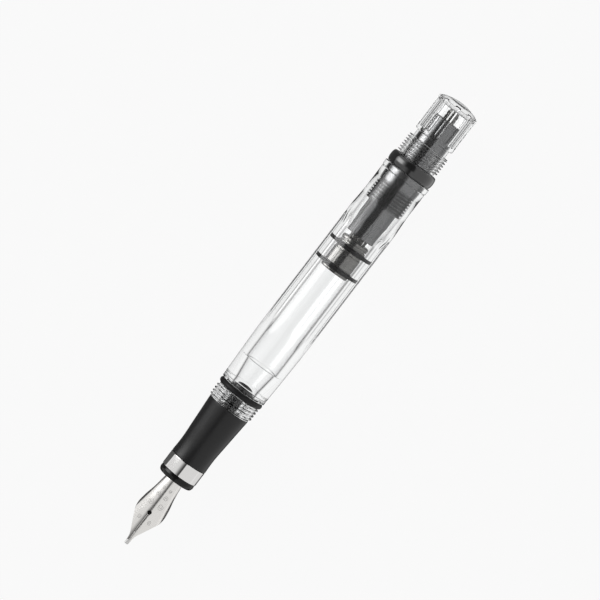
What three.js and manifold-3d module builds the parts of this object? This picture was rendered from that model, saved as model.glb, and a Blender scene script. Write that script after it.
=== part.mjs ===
// A clear piston-filler fountain pen, uncapped and lying along X with its nib towards -X.
// Millimetres, +Z up. Every station below is a distance back from the tip of the nib, along the axis of the
// pen. The finished group is then moved so that the origin is on the axis, half way along the pen.
// The knob turns the drive sleeve, whose inner thread moves the piston rod, and the two flats of the rod
// slide in the rod guide, so that the piston travels without turning. Threads are drawn as plain ridges.

import * as THREE from "three";
import { mergeVertices } from "three/addons/utils/BufferGeometryUtils.js";
import { ParametricGeometry } from "three/addons/geometries/ParametricGeometry.js";
import Module from "manifold-3d";

const wasm = await Module();
wasm.setup();

// ---- Driving dimensions -------------------------------------------------------------------------------

const LENGTH = 131; // tip of the nib to the end of the knob
const SIDES = 36; // sides of the large round pieces
const SMALL_SIDES = 24; // sides of the small round pieces
const FIT = 0.05; // gap between faces that meet
const SLIDE = 0.1; // radial gap of a loose fit

const FACETS = 12;
const FACET_RADIUS = 6.43; // from the axis to a flat of the barrel

const NIB = {
  base: 30.5,
  shoulder: 18.7, // where the nib leaves the section
  radius: 2.5, // outside of the rolled base
  thickness: 0.3,
  tipDrop: 1.75, // how far the tip lies below the crown of the base
  tipCurve: 6.0, // radius of the section's arc at the tip
  slit: 0.14,
  breather: 9.3,
  breatherRadius: 0.52,
  tipping: 0.5,
};
// half the width of the nib at stations back from its tip
const NIB_OUTLINE = [[0, 0.5], [2.1, 0.71], [4.5, 1.77], [6.9, 2.96], [8.9, 3.7], [11.6, 3.55], [15, 2.87],
  [18.7, 2.36]];

const FEED = { front: 3.2, full: 13, radius: 2.1, rear: 46.4, slots: 9, slotFrom: 10.6, slotPitch: 0.85,
  slotWidth: 0.35, slotFloor: -1.1 };
const COLLAR = { front: 19.6, step: 32, rear: 47, radius: 3.3, stem: 2.65 };
const SECTION = { front: 18.9, lip: 20.6, lipRadius: 4.75, ringEnd: 24.4, rear: 40.4, core: 4.05, bore: 3.4,
  spigotFrom: 33.7 };
const GRIP = { front: 4.8, waist: 4.7, waistAt: 27.7, rear: 5.5 };
const CAP_THREAD = { root: 5.4, crest: 5.85, turns: 5, from: 40.55, to: 44.1 };
const CAP_SEAL = { at: 45.02, wire: 0.72, groove: 4.55, grooveFrom: 44.2, grooveTo: 45.85 };

const BARREL = { spigot: 3.75, spigotFront: 34.1, frontBore: 3.0, frontBoreTo: 47.2, flareTo: 53.1,
  flare: 3.8, bore: 4.15, boreFrom: 53.4, boreTo: 91.8, rearBoreFrom: 94, rearBoreMid: 4.72,
  rearBoreTo: 100.5, rearBore: 5.05, flange: 6.03, flangeFrom: 45.9, seat: 108.4, seatRadius: 5.3,
  collar: 6.3, collarFrom: 108.5, rear: 110 };
// outer radius of the barrel between its front flange and its rear collar
const BARREL_SWELL = [[47.5, 6.08], [62, 6.46], [78, 6.73], [92, 6.6], [101, 6.17], [108.4, 6.15]];
const SWELL_STEPS = 12;

const HEAD = { front: 81.2, rear: 90.2, radius: 3.8, groove: 3.1, grooveWidth: 1.3, grooves: [81.8, 87.3],
  socket: 84 };
const SEAL_RADIUS = BARREL.bore - 0.03;
const ROD = { front: 84.1, flatsFrom: 90.4, rear: 128.6, radius: 1.5, flat: 1.15 };

const HOUSING = { front: 91.5, nose: 3.9, noseTo: 100.4, threadTo: 105.7, root: 4.6, crest: 4.9, ridges: 4,
  body: 4.95, flange: 5.2, flangeTo: 110.05, neck: 4.55, rear: 113.2, bore: 3.0, seat: 105.8,
  counterbore: 3.9 };
const GUIDE = { front: 91.6, rear: 94 };
const SLEEVE = { front: 94.2, rear: 118.5, radius: 2.6, flange: 3.8, flangeFrom: 106.2, flangeTo: 107.4 };
const WASHER = 0.3;
const GLAND = { front: 107.8, rear: 111, slotWidth: 0.9, slotDepth: 0.8 };
const FRICTION_RING = { at: 111.85, wire: 0.55 };
const REAR_RING = { front: 110.1, rear: 113.1, radius: 6.2, edge: 5.75 };

const CORE = { front: 113.4, flangeTo: 114.3, rear: 125.6, radius: 4.05, flange: 4.14, socketTo: 118.7 };
const KNOB = { front: 113.4, bore: 4.2, boreTo: 128.9, root: 4.97, crest: 5.67, turns: 8, threadTo: 117.9,
  groove: 4.6, grooveFrom: 118.2, grooveTo: 120.1, body: 5.32, bodyFrom: 120.4, lip: 5.5, lipFrom: 129,
  lipTo: 129.6, flutes: 9, fluteRadius: 0.8, fluteOut: 0.42, fluteFrom: 120.9 };

// ---- Finishes -----------------------------------------------------------------------------------------

const FINISH = {
  steel: { color: 0xc4c6c8, roughness: 0.25, metalness: 1 },
  chrome: { color: 0xd8dadc, roughness: 0.08, metalness: 1 },
  blackPlastic: { color: 0x161616, roughness: 0.35, metalness: 0 },
  matteBlack: { color: 0x1d1d1e, roughness: 0.6, metalness: 0 },
  rubber: { color: 0x121212, roughness: 0.7, metalness: 0 },
  clear: { color: 0xf4f6f6, roughness: 0.03, metalness: 0 },
  pistonGrey: { color: 0x3a3836, roughness: 0.4, metalness: 0 },
  gunmetal: { color: 0x55565a, roughness: 0.28, metalness: 1 },
  brass: { color: 0xb08d4a, roughness: 0.35, metalness: 1 },
  washer: { color: 0xe8e6e0, roughness: 0.5, metalness: 0 },
};

const pen = new THREE.Group();
pen.position.x = -LENGTH / 2;

// ---- Making and joining solids ------------------------------------------------------------------------

/** Merges a geometry's shared vertices, drops its flat triangles and hands it to manifold. */
function toSolid(geometry) {
  const bare = geometry.clone();
  bare.deleteAttribute("normal");
  bare.deleteAttribute("uv");
  const merged = mergeVertices(bare, 1e-5);
  const index = Array.from(merged.index.array);
  const kept = [];
  for (let i = 0; i < index.length; i += 3) {
    const [a, b, c] = index.slice(i, i + 3);
    if (a !== b && b !== c && c !== a) kept.push(a, b, c);
  }
  const solid = new wasm.Manifold(new wasm.Mesh({
    numProp: 3,
    vertProperties: new Float32Array(merged.attributes.position.array),
    triVerts: new Uint32Array(kept),
  }));
  if (solid.volume() <= 0) throw new Error("a solid is inside out");
  return solid;
}

/** Turns a manifold back into a three.js geometry. */
function toGeometry(solid) {
  const mesh = solid.getMesh();
  const geometry = new THREE.BufferGeometry();
  geometry.setAttribute("position", new THREE.BufferAttribute(mesh.vertProperties, 3));
  geometry.setIndex(new THREE.BufferAttribute(mesh.triVerts, 1));
  geometry.computeVertexNormals();
  return geometry;
}

/** Adds a named piece to the pen. */
function addPiece(name, solid, finish) {
  const mesh = new THREE.Mesh(toGeometry(solid), new THREE.MeshStandardMaterial(finish));
  mesh.name = name;
  pen.add(mesh);
}

/** A solid turned about the pen's axis. The profile lists [station, radius], outside first, then inside. */
function turned(profile, sides = SIDES) {
  const points = profile.map(([station, radius]) => new THREE.Vector2(radius, station));
  if (profile[0][1] > 0) points.push(points[0].clone());
  const geometry = new THREE.LatheGeometry(points, sides);
  geometry.rotateZ(-Math.PI / 2);
  return toSolid(geometry);
}

/** A plain tube between two stations. */
function tube(front, rear, outer, inner, sides = SIDES) {
  return turned([[front, outer], [rear, outer], [rear, inner], [front, inner]], sides);
}

/** An elastic ring of round wire lying round the axis. */
function wireRing(station, middle, wire) {
  const section = new THREE.EllipseCurve(station, middle, wire, wire, Math.PI, -Math.PI, true);
  const points = section.getPoints(8).slice(0, -1);
  return turned(points.map((p) => [p.x, p.y]), SMALL_SIDES);
}

/** A box by its lowest and highest corners. */
function block(low, high) {
  const size = high.map((h, i) => h - low[i]);
  const geometry = new THREE.BoxGeometry(...size);
  geometry.translate(...low.map((l, i) => l + size[i] / 2));
  return toSolid(geometry);
}

/** Profile points of ridges that stand for a thread. */
function ridges(from, to, root, crest, turns) {
  const pitch = (to - from) / turns;
  const points = [];
  for (let i = 0; i < turns; i += 1) {
    points.push([from + i * pitch, root], [from + (i + 0.5) * pitch, crest]);
  }
  points.push([to, root]);
  return points;
}

/** A smooth curve through [station, value] pairs, as a function of the station. */
function smooth(pairs) {
  const curve = new THREE.CubicInterpolant(pairs.map((p) => p[0]), pairs.map((p) => p[1]), 1);
  return (station) => curve.evaluate(station)[0];
}

/** A round rod with two flats above and below, between two stations. */
function flattedRod(front, rear, radius, flat) {
  const round = turned([[front, 0], [front, radius], [rear, radius], [rear, 0]], SMALL_SIDES);
  return round.intersect(block([front - 1, -2 * radius, -flat], [rear + 1, 2 * radius, flat]));
}

// ---- Nib and feed -------------------------------------------------------------------------------------

const nibHalfWidth = smooth(NIB_OUTLINE);

/** The nib's section at a station: its half width, the radius of its arc and the height of its crown. */
function nibSection(station) {
  const fromShoulder = 1 - Math.min(station / NIB.shoulder, 1);
  return {
    halfWidth: nibHalfWidth(station),
    arc: THREE.MathUtils.lerp(NIB.radius, NIB.tipCurve, fromShoulder ** 1.2),
    crown: NIB.radius - NIB.tipDrop * fromShoulder ** 2,
  };
}

/** The nib as a bent sheet. over and under thicken it both ways, to cut room for it in the feed. */
function nibSheet(over = 0, under = 0) {
  const across = 10;
  const along = 20;
  const loop = 2 * (across + 1); // points round the section: the outside, then back along the inside
  const surface = (u, v, target) => {
    const row = Math.round(v * (along + 2)) - 1; // the first and last rows close the ends
    const column = Math.round(u * loop) % loop;
    const station = THREE.MathUtils.clamp(row / along, 0, 1) ** 1.3 * NIB.base; // closer rows in front
    const { halfWidth, arc, crown } = nibSection(station);
    const outside = column <= across;
    const share = outside ? column / across : 1 - (column - across - 1) / across;
    const angle = Math.asin(halfWidth / arc) * (1 - 2 * share);
    const inner = arc - NIB.thickness - under;
    const outer = arc + over;
    let radius = outside ? outer : inner;
    if (row < 0 || row > along) radius = (inner + outer) / 2;
    target.set(station, radius * Math.sin(angle), crown - arc + radius * Math.cos(angle));
  };
  return toSolid(new ParametricGeometry(surface, loop, along + 2));
}

/** The steel nib: a bent sheet with a pellet at its tip, split as far as the breather hole. */
function makeNib() {
  const pellet = new THREE.SphereGeometry(NIB.tipping, 16, 10);
  pellet.scale(1, 0.9, 1.1);
  pellet.translate(NIB.tipping, 0, nibSection(0).crown - NIB.thickness);
  const hole = new THREE.CylinderGeometry(NIB.breatherRadius, NIB.breatherRadius, 4, 20);
  hole.rotateX(Math.PI / 2);
  hole.translate(NIB.breather, 0, NIB.radius);
  const slit = block([-1, -NIB.slit / 2, -2], [NIB.breather, NIB.slit / 2, 4]);
  return nibSheet().add(toSolid(pellet)).subtract(toSolid(hole)).subtract(slit);
}

/** The ink feed under the nib: a tapered round bar with a comb of slots below. */
function makeFeed() {
  const { front, full, radius, rear } = FEED;
  let feed = turned([[front, 0], [front + 0.5, 0.5], [full, radius], [rear, radius], [rear, 0]], SMALL_SIDES);
  feed = feed.subtract(nibSheet(3, 2 * FIT));
  for (let i = 0; i < FEED.slots; i += 1) {
    const from = FEED.slotFrom + i * FEED.slotPitch;
    feed = feed.subtract(block([from, -3, -3], [from + FEED.slotWidth, 3, FEED.slotFloor]));
  }
  const inkWay = block([rear - 6, -0.4, 1.5], [rear + 1, 0.4, 3]);
  return feed.subtract(inkWay);
}

/** The collar that holds nib and feed, with a long hollow stem that reaches the ink. */
function makeCollar() {
  const seat = NIB.base + 2 * FIT;
  const nibBore = NIB.radius + SLIDE;
  const feedBore = FEED.radius + SLIDE;
  return turned([
    [COLLAR.front, COLLAR.radius], [COLLAR.step, COLLAR.radius], [COLLAR.step, COLLAR.stem],
    [COLLAR.rear, COLLAR.stem], [COLLAR.rear, feedBore], [seat, feedBore], [seat, nibBore],
    [COLLAR.front, nibBore],
  ], SMALL_SIDES);
}

addPiece("nib", makeNib(), FINISH.steel);
addPiece("feed", makeFeed(), FINISH.blackPlastic);
addPiece("nib_collar", makeCollar(), FINISH.blackPlastic);

// The ring that seals the collar's stem in the section.
const collarSealWire = (SECTION.bore - COLLAR.stem) / 2 - FIT / 2;
const collarSealMiddle = (SECTION.bore + COLLAR.stem) / 2;
addPiece("collar_seal", wireRing(COLLAR.step + 0.9, collarSealMiddle, collarSealWire), FINISH.rubber);

// ---- Grip section -------------------------------------------------------------------------------------

/** The section's black core: a rounded lip in front and a thin sleeve that the barrel screws into. */
function makeSectionCore() {
  const { front, lip, lipRadius, core, bore, spigotFrom } = SECTION;
  const rear = SECTION.rear - 0.5;
  const socket = BARREL.spigot + SLIDE;
  return turned([
    [front, bore + 0.5], [front + 0.15, lipRadius - 0.6], [front + 0.5, lipRadius - 0.2],
    [front + 1, lipRadius], [lip, lipRadius], [lip, core], [rear, core], [rear, socket],
    [spigotFrom, socket], [spigotFrom, bore], [front + 0.4, bore],
  ]);
}

/** The chrome ring between the lip and the grip. */
function makeTrimRing() {
  const front = SECTION.lip + FIT;
  const rear = SECTION.ringEnd - FIT;
  const outer = SECTION.lipRadius + 0.03;
  const edge = 0.12;
  return turned([
    [front, outer - edge], [front + edge, outer], [rear - edge, outer], [rear, outer - edge],
    [rear, SECTION.core + SLIDE], [front, SECTION.core + SLIDE],
  ]);
}

/** The matte grip, a little waisted near its front and widening towards the barrel. */
function makeGrip() {
  const front = SECTION.ringEnd;
  const rear = SECTION.rear - FIT;
  const swell = smooth([[front, GRIP.front], [GRIP.waistAt, GRIP.waist], [33, 5.02], [rear, GRIP.rear]]);
  const profile = [];
  const steps = 7;
  for (let i = 0; i <= steps; i += 1) {
    const station = THREE.MathUtils.lerp(front, rear, i / steps);
    profile.push([station, swell(station)]);
  }
  profile.push([rear, SECTION.core + SLIDE], [front, SECTION.core + SLIDE]);
  return turned(profile);
}

addPiece("section_core", makeSectionCore(), FINISH.blackPlastic);
addPiece("section_trim_ring", makeTrimRing(), FINISH.chrome);
addPiece("grip_sleeve", makeGrip(), FINISH.matteBlack);
const capSealRadius = CAP_SEAL.groove + CAP_SEAL.wire + FIT;
addPiece("cap_seal", wireRing(CAP_SEAL.at, capSealRadius, CAP_SEAL.wire), FINISH.rubber);

// ---- Barrel -------------------------------------------------------------------------------------------

/** The clear barrel: screw spigot, cap thread, seal groove, swelling body with flats, and the ink bore. */
function makeBarrel() {
  const b = BARREL;
  const swell = smooth(BARREL_SWELL);
  const profile = [
    [b.spigotFront, b.spigot], [SECTION.rear, b.spigot], [SECTION.rear, CAP_THREAD.root],
    ...ridges(CAP_THREAD.from, CAP_THREAD.to, CAP_THREAD.root, CAP_THREAD.crest, CAP_THREAD.turns),
    [CAP_SEAL.grooveFrom, CAP_SEAL.groove], [CAP_SEAL.grooveTo, CAP_SEAL.groove],
    [b.flangeFrom, b.flange],
  ];
  const swellFrom = BARREL_SWELL[0][0];
  const swellTo = BARREL_SWELL.at(-1)[0];
  for (let i = 0; i <= SWELL_STEPS; i += 1) {
    const station = THREE.MathUtils.lerp(swellFrom, swellTo, i / SWELL_STEPS);
    profile.push([station, swell(station)]);
  }
  profile.push(
    [b.collarFrom, b.collar], [b.rear - 0.15, b.collar], [b.rear, b.collar - 0.15],
    [b.rear, b.seatRadius], [b.seat, b.seatRadius], [b.seat, b.rearBore], [b.rearBoreTo, b.rearBore],
    [b.rearBoreFrom, b.rearBoreMid], [b.boreTo, b.bore], [b.boreFrom, b.bore], [b.flareTo, b.flare],
    [b.frontBoreTo, b.frontBore], [b.spigotFront, b.frontBore],
  );
  return turned(profile).intersect(facetedPrism());
}

/** A prism with the barrel's flats for sides, one of them facing straight down. */
function facetedPrism() {
  const corner = FACET_RADIUS / Math.cos(Math.PI / FACETS);
  const shape = new THREE.Shape();
  for (let i = 0; i < FACETS; i += 1) {
    const angle = ((i + 0.5) / FACETS) * 2 * Math.PI;
    const [x, y] = [corner * Math.cos(angle), corner * Math.sin(angle)];
    if (i === 0) shape.moveTo(x, y);
    else shape.lineTo(x, y);
  }
  shape.closePath();
  const geometry = new THREE.ExtrudeGeometry(shape, { depth: LENGTH, bevelEnabled: false });
  geometry.rotateY(Math.PI / 2);
  return toSolid(geometry);
}

addPiece("barrel", makeBarrel(), FINISH.clear);

// ---- Piston -------------------------------------------------------------------------------------------

/** The piston head: a plug with a groove near each end for its seals and a blind socket for the rod. */
function makePistonHead() {
  const { front, rear, radius, groove, grooveWidth, grooves, socket } = HEAD;
  const profile = [[front, 0], [front, radius - 0.3], [front + 0.3, radius]];
  for (const from of grooves) {
    profile.push([from, radius], [from, groove], [from + grooveWidth, groove], [from + grooveWidth, radius]);
  }
  const fit = ROD.radius + FIT;
  profile.push([rear - 0.3, radius], [rear, radius - 0.3], [rear, fit], [socket, fit], [socket, 0]);
  return turned(profile);
}

/** A lipped seal in one of the head's grooves. */
function makePistonSeal(from) {
  const front = from + FIT;
  const rear = from + HEAD.grooveWidth - FIT;
  const inner = HEAD.groove + FIT;
  const shoulder = HEAD.radius - 0.1;
  return turned([
    [front, shoulder], [front + 0.25, SEAL_RADIUS], [rear - 0.25, SEAL_RADIUS], [rear, shoulder],
    [rear, inner], [front, inner],
  ]);
}

/** The piston rod: round where it enters the head, with two flats along the rest. */
function makeRod() {
  const plug = turned([[ROD.front, 0], [ROD.front, ROD.radius], [ROD.flatsFrom + 0.1, ROD.radius],
    [ROD.flatsFrom + 0.1, 0]], SMALL_SIDES);
  return plug.add(flattedRod(ROD.flatsFrom, ROD.rear, ROD.radius, ROD.flat));
}

addPiece("piston_head", makePistonHead(), FINISH.pistonGrey);
addPiece("front_piston_seal", makePistonSeal(HEAD.grooves[0]), FINISH.rubber);
addPiece("rear_piston_seal", makePistonSeal(HEAD.grooves[1]), FINISH.rubber);
addPiece("piston_rod", makeRod(), FINISH.gunmetal);

// ---- Filling mechanism --------------------------------------------------------------------------------

/** The metal housing that screws into the back of the barrel. */
function makeHousing() {
  const h = HOUSING;
  return turned([
    [h.front, h.nose - 0.2], [h.front + 0.2, h.nose], [h.noseTo, h.nose],
    ...ridges(h.noseTo + 0.2, h.threadTo, h.root, h.crest, h.ridges),
    [BARREL.seat - FIT, h.body], [BARREL.seat + FIT, h.flange], [h.flangeTo, h.flange],
    [h.flangeTo, h.neck], [h.rear, h.neck], [h.rear, h.counterbore], [h.seat, h.counterbore],
    [h.seat, h.bore], [h.front, h.bore],
  ]);
}

/** The guide pressed into the housing's front. Its keyed hole stops the rod from turning. */
function makeGuide() {
  const outer = HOUSING.bore - FIT;
  const plug = turned([[GUIDE.front, 0], [GUIDE.front, outer], [GUIDE.rear, outer], [GUIDE.rear, 0]],
    SMALL_SIDES);
  return plug.subtract(
    flattedRod(GUIDE.front - 1, GUIDE.rear + 1, ROD.radius + SLIDE, ROD.flat + SLIDE),
  );
}

/** The drive sleeve that turns with the knob. Its thread moves the rod, and its flange stays put. */
function makeDriveSleeve() {
  const s = SLEEVE;
  return turned([
    [s.front, s.radius], [s.flangeFrom, s.radius], [s.flangeFrom, s.flange], [s.flangeTo, s.flange],
    [s.flangeTo, s.radius], [s.rear, s.radius], [s.rear, ROD.radius + SLIDE],
    [s.front, ROD.radius + SLIDE],
  ], SMALL_SIDES);
}

/** The threaded gland that keeps the drive sleeve in, with two slots for a pin spanner. */
function makeGland() {
  const outer = HOUSING.counterbore - FIT;
  const ring = tube(GLAND.front, GLAND.rear, outer, SLEEVE.radius + SLIDE, SMALL_SIDES);
  const slot = block([GLAND.rear - GLAND.slotDepth, -5, -GLAND.slotWidth / 2],
    [GLAND.rear + 1, 5, GLAND.slotWidth / 2]);
  return ring.subtract(slot);
}

/** A slippery washer beside the drive sleeve's flange. */
function makeWasher(front) {
  return tube(front, front + WASHER, HOUSING.counterbore - SLIDE, SLEEVE.radius + SLIDE, SMALL_SIDES);
}

/** The black ring on the housing's neck, crowned across its width. */
function makeRearRing() {
  const { front, rear, radius, edge } = REAR_RING;
  const steps = 6;
  const profile = [];
  for (let i = 0; i <= steps; i += 1) {
    const across = (2 * i) / steps - 1;
    const height = Math.sqrt(1 - across ** 4);
    profile.push([THREE.MathUtils.lerp(front, rear, i / steps), edge + (radius - edge) * height]);
  }
  const inner = HOUSING.neck + FIT;
  profile.push([rear, inner], [front, inner]);
  return turned(profile);
}

addPiece("mechanism_housing", makeHousing(), FINISH.gunmetal);
addPiece("rod_guide", makeGuide(), FINISH.blackPlastic);
addPiece("drive_sleeve", makeDriveSleeve(), FINISH.brass);
addPiece("front_thrust_washer", makeWasher(HOUSING.seat + FIT), FINISH.washer);
addPiece("rear_thrust_washer", makeWasher(SLEEVE.flangeTo + FIT), FINISH.washer);
addPiece("gland_nut", makeGland(), FINISH.brass);
addPiece("knob_friction_ring",
  wireRing(FRICTION_RING.at, SLEEVE.radius + SLIDE + FRICTION_RING.wire, FRICTION_RING.wire),
  FINISH.rubber);
addPiece("rear_ring", makeRearRing(), FINISH.rubber);

// ---- Knob ---------------------------------------------------------------------------------------------

/** The dark metal core that joins the knob to the drive sleeve, open behind for the rod's end. */
function makeKnobCore() {
  const c = CORE;
  const socket = SLEEVE.radius + FIT;
  const bore = ROD.radius + 2 * SLIDE;
  return turned([
    [c.front, c.flange], [c.flangeTo, c.flange], [c.flangeTo, c.radius], [c.rear - 0.2, c.radius],
    [c.rear, c.radius - 0.2], [c.rear, bore], [c.socketTo, bore], [c.socketTo, socket], [c.front, socket],
  ]);
}

/** The clear knob: a thread for posting the cap, an undercut, and a fluted body with a domed end. */
function makeKnob() {
  const k = KNOB;
  let knob = turned([
    ...ridges(k.front, k.threadTo, k.root, k.crest, k.turns),
    [k.grooveFrom, k.groove], [k.grooveTo, k.groove], [k.bodyFrom, k.body], [k.lipFrom, k.body],
    [k.lipFrom + 0.1, k.lip], [k.lipTo, k.lip], [LENGTH - 0.7, 4.1], [LENGTH - 0.2, 2.2], [LENGTH, 0],
    [k.boreTo, 0], [k.boreTo, k.bore], [k.front, k.bore],
  ]);
  for (let i = 0; i < k.flutes; i += 1) {
    const angle = Math.PI / 2 + (i / k.flutes) * 2 * Math.PI;
    const out = k.body + k.fluteOut;
    const flute = new THREE.CapsuleGeometry(k.fluteRadius, LENGTH, 3, 10);
    flute.rotateZ(-Math.PI / 2);
    flute.translate(k.fluteFrom + LENGTH / 2 + k.fluteRadius, out * Math.cos(angle), out * Math.sin(angle));
    knob = knob.subtract(toSolid(flute));
  }
  return knob;
}

addPiece("knob_core", makeKnobCore(), FINISH.gunmetal);
addPiece("knob", makeKnob(), FINISH.clear);

export default pen;
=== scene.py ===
"""Looks of a clear piston-filler fountain pen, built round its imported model.

The pen lies along X with its nib towards -X. Sizes here are in millimetres, and a station is a
distance back from the tip of the nib along the pen's axis. Angles go round the axis from +Z towards
+Y.
"""

import logging
import math
from dataclasses import dataclass, field, replace
from enum import Enum
from functools import partial
from typing import Callable, Optional, Sequence, Union

import bpy
import numpy as np
from bpy.types import Material, Node, NodeTree
from bpy.types import NodeSocket as Socket
from bpy.types import Object as Piece
from mathutils import Matrix, Vector


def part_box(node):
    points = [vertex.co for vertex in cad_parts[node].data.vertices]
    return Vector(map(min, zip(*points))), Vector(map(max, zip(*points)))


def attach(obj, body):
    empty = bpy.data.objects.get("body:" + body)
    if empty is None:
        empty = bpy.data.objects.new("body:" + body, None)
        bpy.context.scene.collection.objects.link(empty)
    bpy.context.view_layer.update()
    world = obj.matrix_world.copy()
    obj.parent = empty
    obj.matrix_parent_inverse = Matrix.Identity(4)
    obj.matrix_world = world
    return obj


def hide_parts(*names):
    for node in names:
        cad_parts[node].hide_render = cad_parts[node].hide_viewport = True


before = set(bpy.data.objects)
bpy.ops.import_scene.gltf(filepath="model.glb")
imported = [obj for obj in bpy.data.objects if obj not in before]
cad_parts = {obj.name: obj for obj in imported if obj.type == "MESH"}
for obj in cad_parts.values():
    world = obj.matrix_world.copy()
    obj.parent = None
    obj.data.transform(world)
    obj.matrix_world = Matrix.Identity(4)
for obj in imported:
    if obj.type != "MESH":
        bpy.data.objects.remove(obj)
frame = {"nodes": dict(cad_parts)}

LOG = logging.getLogger("pen")
MM = 0.001
TURN = 2 * math.pi
TIP_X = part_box("nib")[0].x
SHARP_ANGLE = math.radians(32)
CLEAR_SHARP_ANGLE = math.radians(40)
WELD_GAP = 0.000002
NO_LIMIT = 99.0  # a radius that no piece reaches


# -----------------------------------------------------------------------------
# Shapes worked out as whole arrays
# -----------------------------------------------------------------------------


@dataclass(frozen=True)
class Extent:
    """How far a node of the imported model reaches: its front and rear stations and its outer radius."""

    front: float
    rear: float
    radius: float

    @classmethod
    def of(cls, node: str) -> "Extent":
        """Reads the extent of a node.

        Args:
            node: the node's name.

        Returns:
            its extent in millimetres.
        """
        low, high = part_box(node)
        return cls((low.x - TIP_X) / MM, (high.x - TIP_X) / MM, max(high.y, high.z) / MM)

    def along(self, share: float) -> float:
        """The station at a share of the way from the front to the rear."""
        return self.front + share * (self.rear - self.front)


def smoothstep(low: float, high: float, value: np.ndarray) -> np.ndarray:
    """Rises from 0 at low to 1 at high, level at both ends: 3t squared less 2t cubed."""
    t = np.clip((value - low) / (high - low), 0, 1)
    return t * t * (3 - 2 * t)


def soft_min(a: np.ndarray, b: np.ndarray, blend: float) -> np.ndarray:
    """The smaller of a and b, rounded over where they differ by less than blend.

    The rounding takes off a quarter of blend times the square of how close they are.
    """
    near = np.clip(1 - np.abs(a - b) / blend, 0, 1)
    return np.minimum(a, b) - near * near * blend / 4


def curve_through(knots: Sequence[tuple[float, float]], at: np.ndarray) -> np.ndarray:
    """A smooth curve through knots, made of cubic pieces.

    The slope at a knot is weighed from the two chords beside it, the shorter one counting for more.

    Args:
        knots: pairs of station and value, in order of station.
        at: the stations wanted.

    Returns:
        the value at each station.
    """
    x, y = np.array(knots, float).T
    slope = np.gradient(y, x)
    i = np.clip(np.searchsorted(x, at) - 1, 0, len(x) - 2)
    width = x[i + 1] - x[i]
    t = np.clip((at - x[i]) / width, 0, 1)
    start = (1 + 2 * t) * (1 - t) ** 2 * y[i] + t * (1 - t) ** 2 * width * slope[i]
    end = t * t * (3 - 2 * t) * y[i + 1] + t * t * (t - 1) * width * slope[i + 1]
    return start + end


def rounded(corners: Sequence[tuple[float, float, float]], steps: int = 5) -> np.ndarray:
    """An outline with its corners rounded.

    Each corner is replaced by a quadratic curve that touches both sides at the corner's fillet away
    from it, or nearer where a side is short. A point just outside each curve keeps the straight
    side straight when shaded.

    Args:
        corners: station, radius and fillet of each corner, with no fillet at a sharp one.
        steps: how many points a rounded corner gets.

    Returns:
        stations and radii, as an array of pairs.
    """
    points = np.array([c[:2] for c in corners], float)
    out = [points[0]]
    for i in range(1, len(points) - 1):
        here, fillet = points[i], corners[i][2]
        back, ahead = points[i - 1] - here, points[i + 1] - here
        lengths = np.hypot(*back), np.hypot(*ahead)
        reach = min(fillet, 0.42 * lengths[0], 0.42 * lengths[1])
        if reach <= 0:
            out.append(here)
            continue
        back, ahead = back / lengths[0], ahead / lengths[1]
        t = np.linspace(0, 1, steps)[:, None]
        curve = (1 - t) ** 2 * back * reach + t**2 * ahead * reach + here
        out += [here + back * reach * 1.15, *curve, here + ahead * reach * 1.15]
    out.append(points[-1])
    return np.array(out)


def placed(grid: np.ndarray) -> np.ndarray:
    """Stations and offsets in millimetres as points in metres in the pen's frame."""
    places = grid.reshape(-1, 3) * MM
    places[:, 0] += TIP_X
    return places


@dataclass
class Shell:
    """A closed surface round the pen's axis, made of rings to the rear outside and then back inside.

    A surface whose first and last rings lie on the axis closes there. Any other closes by joining
    its last ring to its first.

    Attributes:
        around: how many points a ring has.
        stations, radii: the runs of rings added so far.
    """

    around: int
    stations: list = field(default_factory=list)
    radii: list = field(default_factory=list)

    @property
    def angles(self) -> np.ndarray:
        """The angle of each point of a ring, from straight up."""
        return np.arange(self.around) * TURN / self.around

    def run(self, stations: np.ndarray, radii: np.ndarray) -> "Shell":
        """Adds rings.

        Args:
            stations: the station of each ring.
            radii: the radius of each ring, or of each point of each ring.

        Returns:
            this shell.
        """
        radii = np.asarray(radii, float)
        if radii.ndim == 1:
            radii = np.repeat(radii[:, None], self.around, 1)
        self.stations.append(np.asarray(stations, float))
        self.radii.append(radii)
        return self

    def profile(self, *corners: tuple[float, float, float]) -> "Shell":
        """Adds plain rings along an outline: station, radius and fillet of each corner."""
        outline = rounded(corners)
        return self.run(outline[:, 0], outline[:, 1])

    def points(self) -> tuple[np.ndarray, list]:
        """Works out the surface.

        Point j of ring i is at the ring's station, the radius times the sine of the angle to the
        side and times its cosine upwards. Each face joins two neighbours on one ring to the same
        two on the next.

        Returns:
            the points in metres in the pen's frame, and the faces.
        """
        x = np.concatenate(self.stations)
        r = np.concatenate(self.radii)
        n, m = r.shape
        capped = r[0].max() < 1e-6
        angle = self.angles[None, :]
        grid = np.stack([np.repeat(x[:, None], m, 1), r * np.sin(angle), r * np.cos(angle)], -1)
        rows = np.arange(n - 1 if capped else n)
        here = rows[:, None] * m + np.arange(m)
        beside = rows[:, None] * m + (np.arange(m) + 1) % m
        after = (here + m) % (n * m)
        after_beside = (beside + m) % (n * m)
        quads = np.stack([here, after, after_beside, beside], -1).reshape(-1, 4)
        if not capped:
            return placed(grid), quads.tolist()
        last = (n - 1) * m
        rim = last - m
        front = [(0, m + j, m + (j + 1) % m) for j in range(m)]
        back = [(rim + j, last, rim + (j + 1) % m) for j in range(m)]
        used = np.concatenate([[0], np.arange(m, last), [last]])
        renumber = np.zeros(n * m, int)
        renumber[used] = np.arange(len(used))
        faces = [tuple(int(renumber[v]) for v in face) for face in front + quads[m:-m].tolist() + back]
        return placed(grid).reshape(-1, 3)[used], faces


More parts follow.
